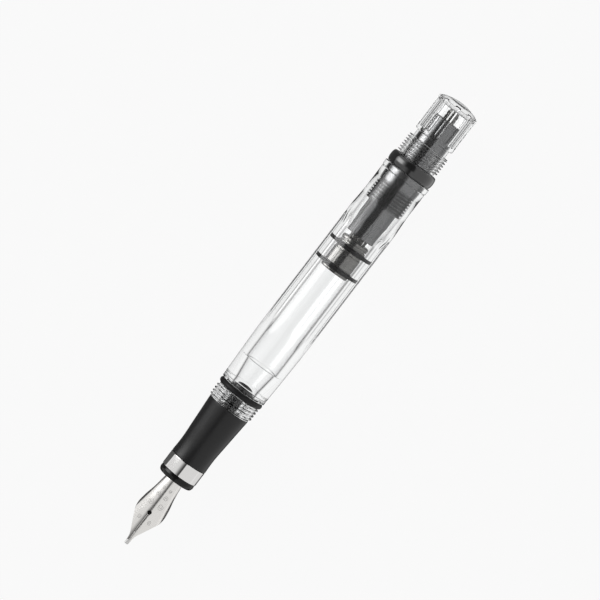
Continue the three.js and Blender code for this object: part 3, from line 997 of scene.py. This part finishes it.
@dataclass
class NibUnit(Assembly):
    """The nib, its tip, the feed below it and the collar that holds both.

    Attributes:
        outline: half the nib's width at stations back from its tip.
        shoulder: the station where the nib leaves the grip section.
        base: the station where its rolled base ends.
        base_arc, tip_arc: the radius of its section's arc at the base and at the tip.
        drop: how far its tip lies below the crown of its base.
        thickness: of the sheet at the base.
        slit: half the width of its slit.
        breather, breather_radius: the station and radius of the round hole.
    """

    outline: tuple = (
        (0.0, 0.5), (2.1, 0.71), (4.5, 1.77), (6.9, 2.96), (8.0, 3.5), (9.1, 3.72), (11.6, 3.52),
        (15.0, 2.85), (18.7, 2.36),
    )
    shoulder: float = 18.7
    base: float = 30.4
    base_arc: float = 2.5
    tip_arc: float = 6.0
    drop: float = 1.75
    thickness: float = 0.26
    slit: float = 0.07
    breather: float = 9.3
    breather_radius: float = 0.52

    def section(self, x: np.ndarray) -> tuple[np.ndarray, np.ndarray, np.ndarray]:
        """The nib's half width, arc radius and crown height at stations.

        The arc opens and the crown drops with powers of how far the station is in front of the
        shoulder.
        """
        ahead = 1 - np.minimum(x / self.shoulder, 1)
        arc = self.base_arc + (self.tip_arc - self.base_arc) * ahead**1.2
        crown = self.base_arc - self.drop * ahead**2
        return curve_through(self.outline, x), arc, crown

    def surface(self, x: np.ndarray, across: np.ndarray, lift: float = 0.0) -> np.ndarray:
        """Points on the nib's upper surface.

        A point is turned round its section's arc by its distance across divided by the arc's radius.

        Args:
            x: stations.
            across: distances across from the centre line, measured round the arc.
            lift: height above the surface.

        Returns:
            stations, sideways offsets and heights.
        """
        _, arc, crown = self.section(x)
        angle = across / arc
        radius = arc + lift
        return np.stack([x, radius * np.sin(angle), crown - arc + radius * np.cos(angle)], -1)

    def half_sheet(self, side: int) -> tuple[np.ndarray, list]:
        """One half of the nib's sheet, from the slit and the hole out to its edge.

        The inner edge is half the slit's width in front of the hole, the hole's own circle beside
        it, and the centre line behind it. Rows run along the nib and lie closer together near the
        ends of the hole.

        Args:
            side: 1 for the +Y half, -1 for the other.

        Returns:
            points and faces of the sheet's outer surface.
        """
        hole_front, hole_rear = self.breather - self.breather_radius, self.breather + self.breather_radius
        circle = self.breather - self.breather_radius * np.cos(np.linspace(0, math.pi, 17))
        front = hole_front * np.linspace(0, 1, 60) ** 1.25
        rear = hole_rear + (self.base - hole_rear) * np.linspace(0, 1, 70) ** 1.15
        x = np.concatenate([front[:-1], circle, rear[1:]])
        half_width, arc, _ = self.section(x)
        reach = np.arcsin(np.clip(half_width / arc, 0, 0.99)) * arc
        opening = np.sqrt(np.clip(self.breather_radius**2 - (x - self.breather) ** 2, 0, None))
        slit = 0.008 + (self.slit - 0.008) * smoothstep(2.4, 4.2, x)
        inner = np.where(x < self.breather, np.maximum(slit, opening), opening)
        share = np.linspace(0, 1, 21) ** 0.85
        across = inner[:, None] + (reach - inner)[:, None] * share[None, :]
        grid = self.surface(np.repeat(x[:, None], len(share), 1), side * across)
        n, m = across.shape
        here = (np.arange(n - 1)[:, None] * m + np.arange(m - 1)).ravel()
        quads = np.stack([here, here + m, here + m + 1, here + 1], -1)
        return placed(grid), quads[:, ::side].tolist()

    def build_nib(self) -> None:
        """Makes the nib: both halves welded behind the hole, given their thickness, with eased edges."""
        nib = join_pieces("steel_nib", [self.half_sheet(1), self.half_sheet(-1)])
        weld(nib)
        sheet = nib.modifiers.new("thickness", "SOLIDIFY")
        sheet.thickness = self.thickness * MM
        sheet.offset = -1
        sheet.use_even_offset = True
        edge = nib.modifiers.new("eased_edge", "BEVEL")
        edge.width = 0.08 * MM
        edge.segments = 3
        edge.limit_method = "ANGLE"
        edge.angle_limit = math.radians(50)
        self.settle(nib, NIB_STEEL, "nib_steel", "nib")

    def strip(self, x: np.ndarray, across: np.ndarray, half: float) -> tuple[np.ndarray, list]:
        """A fine line laid in the nib's surface.

        Its four corners stand half its width either side of the path, just under and just over the
        surface.

        Args:
            x, across: the path on the surface.
            half: half the line's width.

        Returns:
            points and faces of the closed line.
        """
        ahead, aside = np.gradient(x), np.gradient(across)
        length = np.hypot(ahead, aside)
        over, under = 0.012, -0.04
        corners = ((1, over), (-1, over), (-1, under), (1, under))
        dx, dy = -aside / length * half, ahead / length * half
        grid = np.stack([self.surface(x + w * dx, across + w * dy, lift) for w, lift in corners], 1)
        rear = 4 * len(x) - 4
        ends = [[3, 2, 1, 0], [rear, rear + 1, rear + 2, rear + 3]]
        return placed(grid), wrapped_faces(len(x), 4).tolist() + ends

    def build_scrolls(self) -> None:
        """Makes the nib's plain ornament: a centre line, and a few scrolls on each half.

        A scroll is a spiral whose radius falls evenly with its turn.
        """
        centre_half, scroll_half = 0.045, 0.04
        lines = [self.strip(np.linspace(10.0, 18.3, 60), np.zeros(60), centre_half)]
        scrolls = (
            (7.2, 1.5, 0.5, 2.2), (11.9, 1.35, 0.75, 1.2), (14.2, 1.2, 0.6, 4.0), (16.3, 0.95, 0.4, 0.6),
        )
        for side in (1, -1):
            for centre, away, size, start in scrolls:
                turn = np.linspace(0, 1.6 * TURN, 70)
                radius = size * (1 - 0.8 * turn / turn[-1])
                x = centre + 1.25 * radius * np.cos(start + turn)
                across = away + radius * np.sin(start + turn)
                lines.append(self.strip(x, side * across, scroll_half))
        self.settle(join_pieces("nib_scrolls", lines), ENGRAVING, "nib_steel")

    def build_tip(self) -> None:
        """Makes the welded tip: two smooth halves of a pellet either side of the slit.

        Each half is a ball squashed towards a box, whose side next to the slit is pressed flat.
        """
        middle, length, width, height, sunk = 0.45, 0.75, 0.52, 0.46, 0.24
        halves = []
        _, _, crown = self.section(np.array([0.3]))
        for side in (1, -1):
            turn = np.linspace(0, TURN, 33)[:-1]
            rise = np.linspace(-math.pi / 2, math.pi / 2, 17)
            a, b = np.meshgrid(turn, rise)
            round_over = np.cos(b) ** 0.5
            x = middle + length * round_over * np.sign(np.cos(a)) * np.abs(np.cos(a)) ** 0.5
            y = width * round_over * np.sign(np.sin(a)) * np.abs(np.sin(a)) ** 0.5
            z = float(crown[0]) - sunk + height * np.sin(b)
            y = side * np.maximum(y, 0.01)
            quads = wrapped_faces(*a.shape)[:, ::side]
            halves.append((placed(np.stack([x, y, z], -1)), quads.tolist()))
        tip = join_pieces("nib_tip", halves)
        weld(tip)
        self.settle(tip, TIP_ALLOY, "nib_steel")

    def build_feed(self) -> None:
        """Makes the feed: a tapered bar, flattened under the nib, with thin fins round its lower half.

        Its radius is that of the bar, less the depth of a fin gap where the comb's wave is low and
        the point faces down. Above, it is held just below the nib's inner surface.
        """
        extent = Extent.of("feed")
        shell = Shell(around=96)
        x = np.concatenate(
            [
                np.linspace(extent.front, 9.5, 24),
                np.linspace(9.55, 18.6, 230),
                np.linspace(18.8, 37.2, 8),
                np.linspace(37.4, 38.2, 9),
                np.linspace(38.6, extent.rear - 0.35, 6),
            ]
        )
        bar = extent.radius * smoothstep(extent.front - 6.5, 13.0, x)
        bar = bar * smoothstep(extent.front - 0.4, 4.6, x)
        bar = bar - 0.75 * smoothstep(37.4, 38.2, x)
        fins = smoothstep(0.3, 0.42, np.abs(((x - 9.9) / 0.62) % 1 - 0.5) * 2)
        comb = (1 - fins) * smoothstep(9.8, 10.0, x) * smoothstep(18.3, 18.1, x)
        up = np.cos(shell.angles)
        down = smoothstep(0.25, -0.15, up)
        radii = bar[:, None] - 0.75 * comb[:, None] * down
        _, _, crown = self.section(np.minimum(x, self.base))
        ceiling = crown - self.thickness - 0.06
        limit = np.where(up > 0.05, ceiling[:, None] / np.maximum(up, 0.05), NO_LIMIT)
        radii = np.minimum(radii, np.maximum(limit, 0.12))
        radii[0] = 0
        shell.run(x, radii)
        tail = extent.radius - 0.75
        shell.profile((extent.rear - 0.3, tail, 0), (extent.rear, tail - 0.3, 0.2), (extent.rear, 0, 0))
        self.add_shell(shell, "ink_feed", BLACK_PLASTIC, "black_plastic", "feed")

    def build_collar(self) -> None:
        """Makes the collar with its long stem, eased at its ends."""
        extent = Extent.of("nib_collar")
        stem, neck, tail, bore, step = 2.65, 1.75, 1.4, 2.2, 32.0
        shell = Shell(around=96)
        shell.profile(
            (extent.front, 2.62, 0), (extent.front, extent.radius, 0.12),
            (step, extent.radius, 0.12), (step, stem, 0.1), (40.5, stem, 0.3), (40.9, neck, 0.3),
            (44.9, neck, 0.3), (45.2, 2.5, 0.2), (extent.rear - 0.3, 2.5, 0.35),
            (extent.rear, tail, 0.1), (38.6, tail, 0.1), (38.2, bore, 0.1), (30.7, bore, 0),
            (30.7, 2.62, 0), (extent.front + 0.05, 2.62, 0),
        )
        self.add_shell(shell, "nib_housing_collar", BLACK_PLASTIC, "black_plastic", "nib_collar")

    def build(self) -> None:
        """Builds the nib unit."""
        self.build_nib()
        self.build_scrolls()
        self.build_tip()
        self.build_feed()
        self.build_collar()
        dress(frame["nodes"]["collar_seal"], RUBBER)


# -----------------------------------------------------------------------------
# Grip section
# -----------------------------------------------------------------------------


@dataclass
class GripSection(Assembly):
    """The black core with its lip, the chrome ring, the matte grip and the ring behind the cap thread.

    Attributes:
        waist: the grip's radius at stations.
    """

    waist: tuple = ((24.4, 4.8), (25.6, 4.74), (27.7, 4.7), (33.0, 5.0), (40.4, 5.5))

    def build_core(self) -> None:
        """Makes the core: a lip with a full round front edge, then a thin sleeve."""
        extent = Extent.of("section_core")
        lip, sleeve, bore = 20.6, 4.05, 3.4
        shell = Shell(around=160)
        shell.profile(
            (extent.front + 0.35, bore, 0), (extent.front, bore + 0.3, 0.25),
            (extent.front, extent.radius - 0.4, 0.45), (extent.front + 0.75, extent.radius, 0.5),
            (lip, extent.radius - 0.12, 0.1), (lip, sleeve, 0), (extent.rear, sleeve, 0),
            (extent.rear, 3.85, 0), (33.7, 3.85, 0), (33.7, bore, 0), (extent.front + 0.5, bore, 0),
        )
        self.add_shell(shell, "grip_section_core", BLACK_PLASTIC, "black_plastic", "section_core")

    def build_ring(self) -> None:
        """Makes the chrome ring with small eased edges."""
        extent = Extent.of("section_trim_ring")
        shell = Shell(around=192)
        shell.profile(
            (extent.front, 4.15, 0), (extent.front, extent.radius, 0.12),
            (extent.rear, extent.radius, 0.12), (extent.rear, 4.15, 0),
            (extent.front + 0.02, 4.15, 0),
        )
        self.add_shell(shell, "chrome_ring", CHROME, "chrome", "section_trim_ring")

    def build_sleeve(self) -> None:
        """Makes the grip: its radius follows a smooth curve, and both ends are eased."""
        extent = Extent.of("grip_sleeve")
        shell = Shell(around=192)
        front = extent.front
        shell.profile((front, 4.15, 0), (front, 4.62, 0.05), (front + 0.18, 4.79, 0.05))
        x = np.linspace(extent.front + 0.3, extent.rear - 0.15, 60)
        shell.run(x, curve_through(self.waist, x))
        shell.profile((extent.rear - 0.05, extent.radius - 0.02, 0), (extent.rear, extent.radius - 0.1, 0))
        shell.profile((extent.rear, 4.15, 0), (extent.front + 0.1, 4.15, 0))
        self.add_shell(shell, "matte_grip", GRIP_BLACK, "grip_plastic", "grip_sleeve")

    def build_cap_seal(self) -> None:
        """Makes the round rubber ring: its section is a circle, worked out by angle."""
        extent = Extent.of("cap_seal")
        wire = (extent.rear - extent.front) / 2
        turn = np.linspace(0, TURN, 33)[:-1]
        shell = Shell(around=160)
        shell.run(extent.along(0.5) - wire * np.cos(turn), extent.radius - wire + wire * np.sin(turn))
        self.add_shell(shell, "cap_seal_ring", RUBBER, "rubber", "cap_seal")

    def build(self) -> None:
        """Builds the grip section."""
        self.build_core()
        self.build_ring()
        self.build_sleeve()
        self.build_cap_seal()


# -----------------------------------------------------------------------------
# Barrel
# -----------------------------------------------------------------------------


@dataclass
class Barrel(Assembly):
    """The clear barrel.

    Attributes:
        flats: how many flats it has.
        flat_radius: from the axis to a flat.
        flatness: 1 for true flats, 0 for a plain round.
        swell: its outer radius at stations.
        around: how many points a ring has.
    """

    flats: int = 12
    flat_radius: float = 6.43
    flatness: float = 0.6
    swell: tuple = (
        (47.3, 6.07), (54.0, 6.26), (62.0, 6.47), (78.0, 6.73), (92.0, 6.6), (96.7, 6.42),
        (101.0, 6.17), (108.3, 6.15),
    )
    around: int = 240

    def flat_limit(self, angles: np.ndarray) -> np.ndarray:
        """The radius at which each angle meets a slightly crowned flat: between a round and a true flat."""
        step = TURN / self.flats
        off = (angles + step / 2) % step - step / 2
        return self.flat_radius * (1 + self.flatness * (1 / np.cos(off) - 1))

    def build(self) -> None:
        """Makes the barrel: thread, groove, flange, swollen body with flats, collar, then the bore back."""
        extent = Extent.of("barrel")
        shell = Shell(around=self.around)
        shell.profile(
            (extent.front, 3.0, 0), (extent.front, 3.75, 0.1), (40.4, 3.75, 0), (40.4, 5.35, 0.05),
            (40.6, 5.4, 0),
        )
        cap_thread = Helix(40.62, 44.1, 5.4, 5.85, 0.85, 0.4, 0.8, 0.2)
        shell.run(*cap_thread.rings(shell.angles, 16))
        shell.profile(
            (44.14, 5.4, 0), (44.2, 4.55, 0.05), (45.85, 4.55, 0.05), (45.87, 6.03, 0.1),
            (46.85, 6.04, 0.06), (46.95, 5.98, 0.05), (47.1, 5.98, 0.05), (47.2, 6.06, 0.05),
            (47.3, 6.07, 0),
        )
        x = np.linspace(47.4, 108.25, 120)
        shell.run(x, soft_min(curve_through(self.swell, x)[:, None], self.flat_limit(shell.angles), 0.02))
        shell.profile(
            (108.3, 6.15, 0), (108.38, 6.0, 0.03), (108.5, 6.0, 0.03), (108.58, 6.27, 0.05),
            (extent.rear, 6.3, 0.18), (extent.rear, 5.3, 0.05), (108.4, 5.3, 0.05),
            (108.4, 5.05, 0.05), (106.1, 5.05, 0),
        )
        shell.profile(
            (106.0, 5.1, 0.05), (100.6, 5.1, 0.1), (94.0, 4.72, 0.6), (91.8, 4.15, 0.4),
            (53.3, 4.15, 0.03), (53.2, 3.8, 0.04), (47.2, 3.0, 0.3), (extent.front + 0.05, 3.0, 0),
        )
        place = CLEAR_RESIN, "clear_plastic", "barrel"
        self.add_shell(shell, "clear_barrel", *place, sharp=CLEAR_SHARP_ANGLE)


# -----------------------------------------------------------------------------
# Piston
# -----------------------------------------------------------------------------


@dataclass
class Piston(Assembly):
    """The piston's head, its two lipped seals and its threaded rod.

    Attributes:
        bore: the radius of the barrel's bore.
        rod_lead: how far the rod moves in one turn.
        rod_starts: how many threads the rod has side by side.
    """

    body: str = "piston"
    bore: float = 4.15
    rod_lead: float = 7.2
    rod_starts: int = 6

    def build_head(self) -> None:
        """Makes the head: a plug with two grooves, a waist behind the rear one and a thin rear flange."""
        extent = Extent.of("piston_head")
        groove = 3.1
        shell = Shell(around=160)
        shell.profile(
            (extent.front, 0, 0), (extent.front, extent.radius - 0.12, 0.2),
            (extent.front + 0.2, extent.radius, 0.1), (81.8, extent.radius, 0.05),
            (81.8, groove, 0.05), (83.1, groove, 0.05), (83.1, extent.radius, 0.05),
            (86.7, extent.radius, 0.08), (86.8, extent.radius - 0.2, 0.05),
            (87.3, extent.radius - 0.2, 0.05), (87.3, groove, 0.05), (88.6, groove, 0.05),
            (88.6, extent.radius - 0.05, 0.05), (88.8, extent.radius - 0.05, 0.05),
            (88.82, 3.2, 0.05), (89.15, 3.2, 0.05), (89.17, extent.radius - 0.05, 0.05),
            (89.4, extent.radius - 0.05, 0.05), (89.42, 3.4, 0.05), (89.6, 3.4, 0.05),
            (89.62, extent.radius, 0.05), (extent.rear - 0.1, extent.radius, 0.08),
            (extent.rear, extent.radius - 0.25, 0.1), (extent.rear, 1.9, 0.05),
            (extent.rear - 0.3, 1.55, 0.05), (84.0, 1.55, 0), (84.0, 0, 0),
        )
        self.add_shell(shell, "piston_plug", PISTON_GREY, "piston_plastic", "piston_head")

    def build_seal(self, node: str, name: str) -> None:
        """Makes one seal, whose lip presses against the bore.

        Args:
            node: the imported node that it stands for.
            name: the piece's name.
        """
        extent = Extent.of(node)
        lip = self.bore + 0.012
        shell = Shell(around=288)
        shell.profile(
            (extent.front, 3.15, 0), (extent.front, 3.75, 0.05),
            (extent.front + 0.12, lip - 0.02, 0.08), (extent.front + 0.2, lip, 0.04),
            (extent.rear - 0.2, lip, 0.04), (extent.rear - 0.12, lip - 0.02, 0.08),
            (extent.rear, 3.75, 0.05), (extent.rear, 3.15, 0), (extent.front + 0.03, 3.15, 0),
        )
        self.add_shell(shell, name, RUBBER, "rubber", node)

    def build_rod(self) -> None:
        """Makes the rod: a steep thread of several starts, cut by a flat above and one below.

        A flat limits each point's radius to the flat's distance over the cosine of its angle.
        """
        extent = Extent.of("piston_rod")
        shell = Shell(around=168)
        pitch = self.rod_lead / self.rod_starts
        root, crest = extent.radius - 0.22, extent.radius
        thread = Helix(91.45, extent.rear - 0.3, root, crest, pitch, 0.2, 0.7, 0.5, self.rod_starts)
        shell.profile(
            (extent.front, 0, 0), (extent.front, extent.radius - 0.15, 0.1),
            (extent.front + 0.2, extent.radius, 0.1),
            (89.7, extent.radius, 0.1), (90.22, extent.radius, 0.0),
        )
        boss = np.linspace(90.24, 91.42, 40)
        around, along = 28 * shell.angles, 9 * boss[:, None]
        knurl = np.cos(around + along) * np.cos(around - along)
        shell.run(boss, 1.93 + 0.07 * knurl)
        shell.run(np.array([91.43]), np.array([extent.radius - 0.2]))
        x, radii = thread.rings(shell.angles, 10)
        limit = 1.15 / np.maximum(np.abs(np.cos(shell.angles)), 0.05)
        shell.run(x, soft_min(radii, limit, 0.02))
        shell.profile((extent.rear - 0.2, 1.1, 0), (extent.rear, 0.9, 0.1), (extent.rear, 0, 0))
        self.add_shell(shell, "threaded_rod", PISTON_GREY, "piston_plastic", "piston_rod")

    def build(self) -> None:
        """Builds the piston."""
        self.build_head()
        self.build_seal("front_piston_seal", "front_lip_seal")
        self.build_seal("rear_piston_seal", "rear_lip_seal")
        self.build_rod()


# -----------------------------------------------------------------------------
# Filling mechanism
# -----------------------------------------------------------------------------


@dataclass
class Mechanism(Assembly):
    """The plated housing screwed into the barrel, the guide in its nose and the black ring behind it."""

    def build_housing(self) -> None:
        """Makes the housing: a slim nose, a fine thread, a body and a flange, hollow inside."""
        extent = Extent.of("mechanism_housing")
        nose = 3.9
        shell = Shell(around=192)
        shell.profile(
            (extent.front, 3.0, 0), (extent.front, nose, 0.15), (100.2, nose, 0.05),
            (100.3, 4.85, 0.08), (100.55, 4.85, 0.05), (100.65, 4.55, 0.05), (100.8, 4.55, 0),
        )
        thread = Helix(100.85, 105.8, 4.5, 5.03, 0.8, 0.3, 0.7, 0.15)
        shell.run(*thread.rings(shell.angles, 15))
        shell.profile(
            (105.9, 4.6, 0), (106.1, 4.6, 0.05), (106.2, 4.98, 0.08), (108.3, 4.98, 0.03),
            (108.35, 5.2, 0.08), (110.05, 5.2, 0.05), (110.05, 4.55, 0), (extent.rear, 4.55, 0.1),
            (extent.rear, 3.9, 0.05), (105.8, 3.9, 0), (105.8, 3.0, 0),
            (extent.front + 0.05, 3.0, 0),
        )
        self.add_shell(shell, "mechanism_sleeve", THREADED_METAL, "dark_metal", "mechanism_housing")

    def build_rear_ring(self) -> None:
        """Makes the black ring: its height over its edge follows a full, slightly squared curve."""
        extent = Extent.of("rear_ring")
        edge = 5.7
        turn = np.linspace(-1, 1, 41)
        across = np.sign(turn) * (1 - (1 - np.abs(turn)) ** 2)
        crown = edge + (extent.radius - edge) * (1 - np.abs(across) ** 2.4) ** 0.55
        shell = Shell(around=224)
        shell.run(extent.along(0.5) + across * (extent.rear - extent.front) / 2, crown)
        shell.profile((extent.rear, 4.62, 0), (extent.front, 4.62, 0))
        self.add_shell(shell, "crowned_ring", RING_BLACK, "rear_ring_rubber", "rear_ring")

    def build(self) -> None:
        """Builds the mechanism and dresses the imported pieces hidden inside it."""
        self.build_housing()
        self.build_rear_ring()
        nodes = frame["nodes"]
        dress(nodes["rod_guide"], BLACK_PLASTIC)
        dress(nodes["front_thrust_washer"], WHITE_PLASTIC)
        dress(nodes["rear_thrust_washer"], WHITE_PLASTIC)
        dress(nodes["gland_nut"], BRASS)


# -----------------------------------------------------------------------------
# Knob
# -----------------------------------------------------------------------------


@dataclass
class Knob(Assembly):
    """The clear knob and the dark core inside it.

    Attributes:
        flutes: how many round-ended flutes it has.
        flute_radius: the radius of the cutter that makes a flute.
        flute_out: how far outside the body's surface the cutter's centre runs.
        flute_from: the station where a flute begins.
        radius: the body's radius between the flutes.
        around: how many points a ring has.
    """

    body: str = "knob"
    flutes: int = 9
    flute_radius: float = 0.8
    flute_out: float = 0.42
    flute_from: float = 120.9
    radius: float = 5.32
    around: int = 360

    def flute_limit(self, x: np.ndarray, angles: np.ndarray) -> np.ndarray:
        """The radius left by the flutes at each station and angle.

        A cutter of round section runs along the knob with a ball end. Where a line from the axis at
        an angle meets it, the radius is the cutter's distance times the cosine of the angle from
        its middle, less the root of the cutter's radius squared less the sideways distance squared.
        """
        step = TURN / self.flutes
        off = (angles + step / 2) % step - step / 2
        centre = self.radius + self.flute_out
        behind = np.clip(self.flute_from + self.flute_radius - x, 0, None)
        cutter = np.clip(self.flute_radius**2 - behind**2, 0, None)
        inside = cutter[:, None] - (centre * np.sin(off[None, :])) ** 2
        cut = centre * np.cos(off[None, :]) - np.sqrt(np.clip(inside, 0, None))
        return np.where(inside > 0, cut, NO_LIMIT)

    def outside(self, extent: Extent) -> Shell:
        """The knob's outside: a thread, an undercut, a fluted body with a thin lip and a domed end.

        Args:
            extent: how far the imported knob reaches.

        Returns:
            its rings, from front to rear.
        """
        shell = Shell(around=self.around)
        shell.profile((extent.front, 4.2, 0), (extent.front, 4.9, 0.05), (extent.front + 0.1, 4.97, 0))
        thread = Helix(extent.front + 0.12, 117.95, 4.97, 5.6, 0.75, 0.35, 0.8, 0.15)
        shell.run(*thread.rings(shell.angles, 15))
        shell.profile(
            (118.0, 4.97, 0), (118.05, 5.5, 0.05), (118.2, 5.5, 0.05), (118.3, 4.6, 0.1),
            (120.05, 4.6, 0.1), (120.15, 5.2, 0.06), (120.35, self.radius, 0.12),
            (120.7, self.radius, 0),
        )
        x = np.concatenate([np.linspace(120.75, 122.2, 24), np.linspace(122.3, 128.95, 40)])
        shell.run(x, soft_min(self.radius, self.flute_limit(x, shell.angles), 0.03))
        cap = rounded(
            [
                (129.0, self.radius, 0), (129.1, 5.5, 0.06), (129.6, 5.5, 0.1), (130.3, 4.3, 0.5),
                (130.75, 2.6, 0.8), (extent.rear, 1.2, 0.8), (extent.rear, 0.0, 0),
            ]
        )[:-1]
        limit = self.flute_limit(cap[:, 0], shell.angles)
        return shell.run(cap[:, 0], soft_min(cap[:, 1:], limit, 0.03))

    def build_knob(self) -> None:
        """Makes the knob: its outside from the rear to the front, then its bore back to the closed end.

        The rings run the other way from those of other shells, so the faces are turned over.
        """
        extent = Extent.of("knob")
        outside = self.outside(extent)
        shell = Shell(self.around).run(np.array([extent.rear]), np.zeros(1))
        shell.run(np.concatenate(outside.stations)[::-1], np.concatenate(outside.radii)[::-1])
        shell.profile((extent.front + 0.05, 4.2, 0), (128.9, 4.2, 0.35), (128.9, 0.3, 0), (128.9, 0.0, 0))
        points, faces = shell.points()
        knob = make_object("clear_knob", points, [face[::-1] for face in faces], CLEAR_SHARP_ANGLE)
        self.settle(knob, CLEAR_RESIN, "clear_plastic", "knob")

    def build_core(self) -> None:
        """Makes the core: a plated sleeve with a flange in front and an eased rear edge."""
        extent = Extent.of("knob_core")
        shell = Shell(around=160)
        shell.profile(
            (extent.front, 2.66, 0), (extent.front, extent.radius, 0.1),
            (114.3, extent.radius, 0.05), (114.4, 4.05, 0.05), (extent.rear, 4.05, 0.15),
            (extent.rear, 1.7, 0.1), (118.7, 1.7, 0), (118.7, 2.66, 0),
            (extent.front + 0.03, 2.66, 0),
        )
        self.add_shell(shell, "knob_core_sleeve", DARK_METAL, "dark_metal", "knob_core")

    def build(self) -> None:
        """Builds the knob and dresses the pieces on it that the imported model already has."""
        self.build_knob()
        self.build_core()
        dress(frame["nodes"]["drive_sleeve"], BRASS)
        dress(frame["nodes"]["knob_friction_ring"], RUBBER)


# -----------------------------------------------------------------------------
# The whole pen
# -----------------------------------------------------------------------------


def main() -> None:
    """Builds the studio and every sub-assembly of the pen in order."""
    logging.basicConfig(level=logging.INFO, format="%(name)s: %(message)s")
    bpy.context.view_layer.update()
    for part in (Studio(), NibUnit(), GripSection(), Barrel(), Piston(), Mechanism(), Knob()):
        part.build()


if __name__ == "__main__":
    main()
